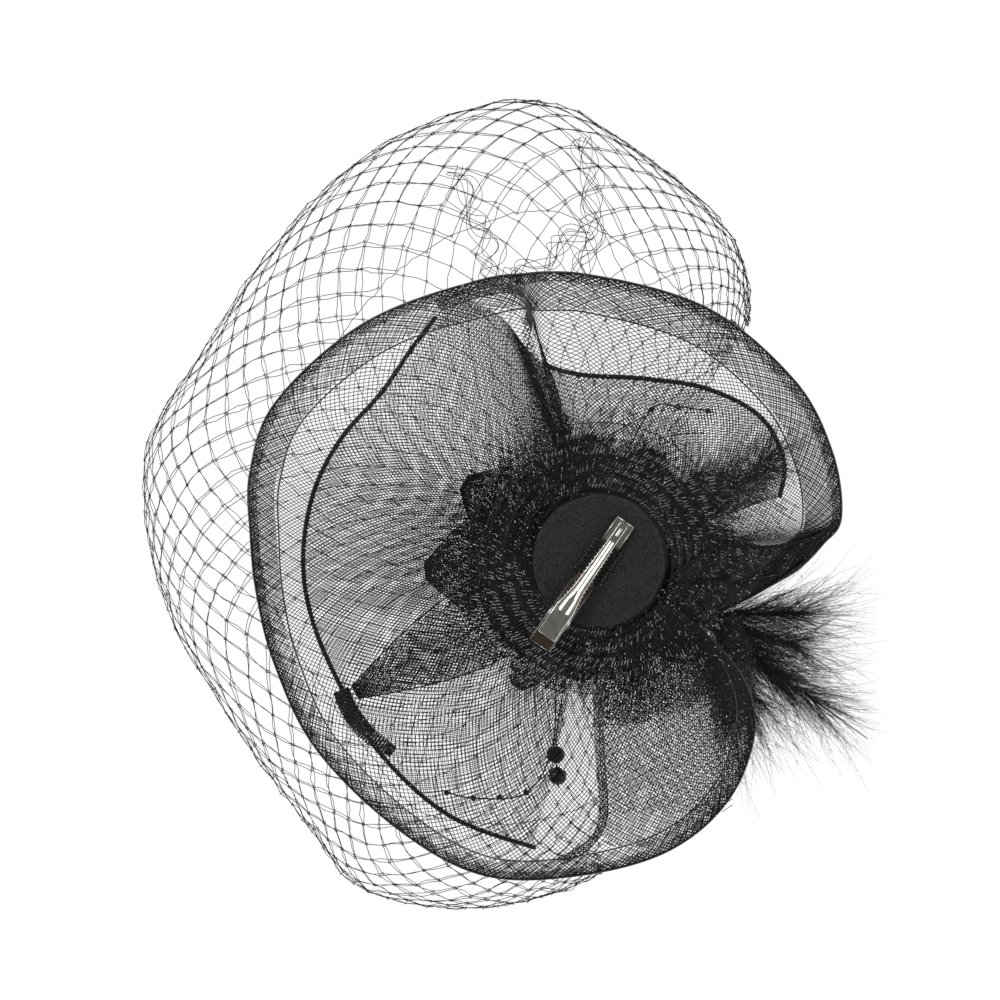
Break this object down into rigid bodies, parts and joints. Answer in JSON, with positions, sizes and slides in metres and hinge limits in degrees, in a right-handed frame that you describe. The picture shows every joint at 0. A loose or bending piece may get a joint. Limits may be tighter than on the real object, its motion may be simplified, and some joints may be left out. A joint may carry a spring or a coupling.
{
  "type": "fascinator headpiece",
  "caption": "Black crinoline fascinator with a corded double brim, loop flower, birdcage veil, plumes and wired beads on a felt pad with a toothed hair clip.",
  "frame": {"origin": "centre of the felt pad's underside, the face that lies on the hair", "axes": "+Z away from the head, -Y to the front where the veil falls, -X to the side with the deepest veil"},
  "size_m": [0.2779, 0.3072, 0.0888],
  "materials": {
    "felt": "matte felt",
    "buckram": "stiffened cloth",
    "crinoline": "open nylon mesh with a slight sheen",
    "clip_metal": "bright plated steel",
    "spring_steel": "drawn wire",
    "thread": "matte thread",
    "cord": "twisted cord, satin",
    "ribbon": "ribbed ribbon",
    "net": "knotted nylon net",
    "bead_wire": "black lacquered wire",
    "bead": "faceted, glossy",
    "quill": "horn-like, satin",
    "feather": "soft down"
  },
  "bodies": {
    "headpiece": {"felt_pad": "felt", "backing_disc": "buckram", "centre_knot": "crinoline", "clip_base_arm": "clip_metal", "clip_pin": "clip_metal", "clip_spring": "spring_steel", "clip_binding": "thread", "lower_brim": "crinoline", "brim_hem": "crinoline", "brim_wire": "cord", "upper_brim": "crinoline", "upper_brim_cord": "cord", "ribbon_tail": "ribbon", "veil": "net", "petal_1": "crinoline", "petal_2": "crinoline", "petal_3": "crinoline", "petal_4": "crinoline", "petal_5": "crinoline", "bow_loop_1": "crinoline", "bow_loop_2": "crinoline", "bead_wire_1": "bead_wire", "bead_wire_2": "bead_wire", "bead_wire_3": "bead_wire", "bead_wire_4": "bead_wire", "small_beads": "bead", "large_beads": "bead", "quill_1": "quill", "quill_2": "quill", "plume_1": "feather", "plume_2": "feather", "petal_6": "crinoline", "petal_7": "crinoline", "petal_8": "crinoline"},
    "clip_jaw_body": {"clip_jaw": "clip_metal"}
  },
  "joints": [
    {"name": "clip_hinge", "type": "hinge", "parent": "headpiece", "child": "clip_jaw_body", "pos_m": [-0.01478, 0.02092, -0.0044], "axis": [0.8181, 0.575, 0], "range_deg": [0, 25], "stiffness_Nm_per_rad": 0.05, "springref_deg": -34.38, "deforming": ["clip_spring"]}
  ]
}
